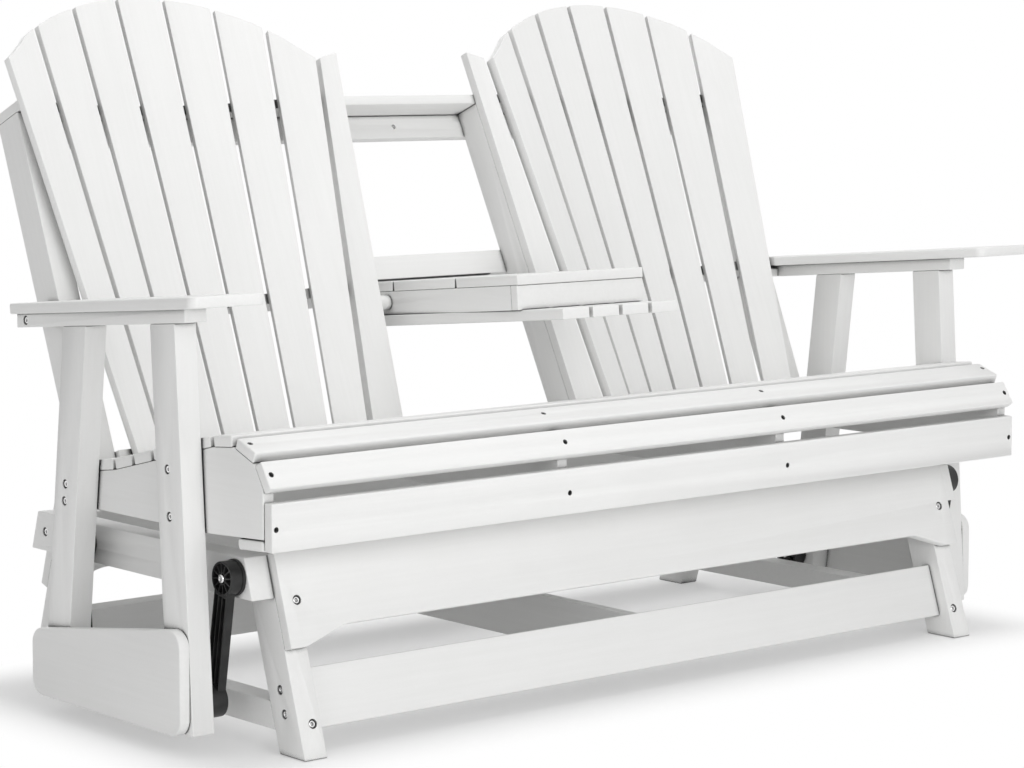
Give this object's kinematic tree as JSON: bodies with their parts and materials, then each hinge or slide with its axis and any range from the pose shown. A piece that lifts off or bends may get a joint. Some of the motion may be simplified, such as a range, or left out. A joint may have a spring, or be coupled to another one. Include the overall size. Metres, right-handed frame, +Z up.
{
  "type": "glider loveseat",
  "caption": "Two-person outdoor glider with fan-shaped reclined backs, slatted seat, wide arms and a fold-up middle console, hung on four swinging links inside a standing base.",
  "frame": {"origin": "on the floor under the middle of the outline", "axes": "+X along the width, front faces -Y, +Z up"},
  "size_m": [1.6836, 0.7632, 1.0476],
  "materials": {
    "white_lumber": "fine-grained white poly lumber",
    "black_link": "satin moulded black",
    "steel": "plain stainless"
  },
  "bodies": {
    "base": {"centre_stretcher": "white_lumber", "front_arched_rail": "white_lumber", "front_left_leg": "white_lumber", "front_right_leg": "white_lumber", "front_stretcher": "white_lumber", "left_top_rail": "white_lumber", "rear_arched_rail": "white_lumber", "rear_left_leg": "white_lumber", "rear_right_leg": "white_lumber", "rear_stretcher": "white_lumber", "right_top_rail": "white_lumber", "side_stretchers": "white_lumber", "upper_pivot_bolts": "steel"},
    "front_left_link": {"front_left_link": "black_link"},
    "front_right_link": {"front_right_link": "black_link"},
    "rear_left_link": {"rear_left_link": "black_link"},
    "rear_right_link": {"rear_right_link": "black_link"},
    "seat": {"apron": "white_lumber", "arm_spacers": "white_lumber", "back_cap": "white_lumber", "console_pins": "steel", "console_spacers": "steel", "contour_rails": "white_lumber", "front_left_arm_post": "white_lumber", "front_right_arm_post": "white_lumber", "ledge_board": "white_lumber", "left_arm": "white_lumber", "left_arm_rail": "white_lumber", "left_back_slats": "white_lumber", "left_inner_back_post": "white_lumber", "left_inner_slat": "white_lumber", "left_outer_back_post": "white_lumber", "left_side_board": "white_lumber", "left_skirt": "white_lumber", "lower_back_rail": "white_lumber", "lower_pivot_bolts": "steel", "nosing_slat": "white_lumber", "rear_left_arm_post": "white_lumber", "rear_right_arm_post": "white_lumber", "rear_seat_rail": "white_lumber", "right_arm": "white_lumber", "right_arm_rail": "white_lumber", "right_back_slats": "white_lumber", "right_inner_back_post": "white_lumber", "right_inner_slat": "white_lumber", "right_outer_back_post": "white_lumber", "right_side_board": "white_lumber", "right_skirt": "white_lumber", "seat_slats": "white_lumber", "seat_supports": "white_lumber", "slope_slat": "white_lumber", "stop_rail": "white_lumber", "upper_back_rail": "white_lumber"},
    "console": {"console_top_boards": "white_lumber", "console_left_skirt": "white_lumber", "console_right_skirt": "white_lumber", "console_end_skirts": "white_lumber", "console_slats": "white_lumber"}
  },
  "joints": [
    {"name": "front_left_swing", "type": "hinge", "parent": "base", "child": "front_left_link", "pos_m": [-0.73, -0.24977, 0.245], "axis": [1, 0, 0], "range_deg": [-14, 14]},
    {"name": "front_right_swing", "type": "hinge", "parent": "base", "child": "front_right_link", "pos_m": [0.73, -0.24977, 0.245], "axis": [1, 0, 0], "range_deg": [-14, 14]},
    {"name": "rear_left_swing", "type": "hinge", "parent": "base", "child": "rear_left_link", "pos_m": [-0.73, 0.13173, 0.245], "axis": [1, 0, 0], "range_deg": [-14, 14]},
    {"name": "rear_right_swing", "type": "hinge", "parent": "base", "child": "rear_right_link", "pos_m": [0.73, 0.13173, 0.245], "axis": [1, 0, 0], "range_deg": [-14, 14]},
    {"name": "seat_glide", "type": "hinge", "parent": "front_left_link", "child": "seat", "pos_m": [-0.74, -0.21877, 0.0705], "axis": [1, 0, 0], "range_deg": [-16, 16]},
    {"name": "console_fold", "type": "hinge", "parent": "seat", "child": "console", "pos_m": [0, 0.17042, 0.564], "axis": [-1, 0, 0], "range_deg": [0, 106.8]}
  ],
  "couplings": [
    {"joint": "front_right_swing", "follows": "front_left_swing", "ratio": 1},
    {"joint": "rear_left_swing", "follows": "front_left_swing", "ratio": 1},
    {"joint": "rear_right_swing", "follows": "front_left_swing", "ratio": 1},
    {"joint": "seat_glide", "follows": "front_left_swing", "ratio": -1.1371}
  ]
}
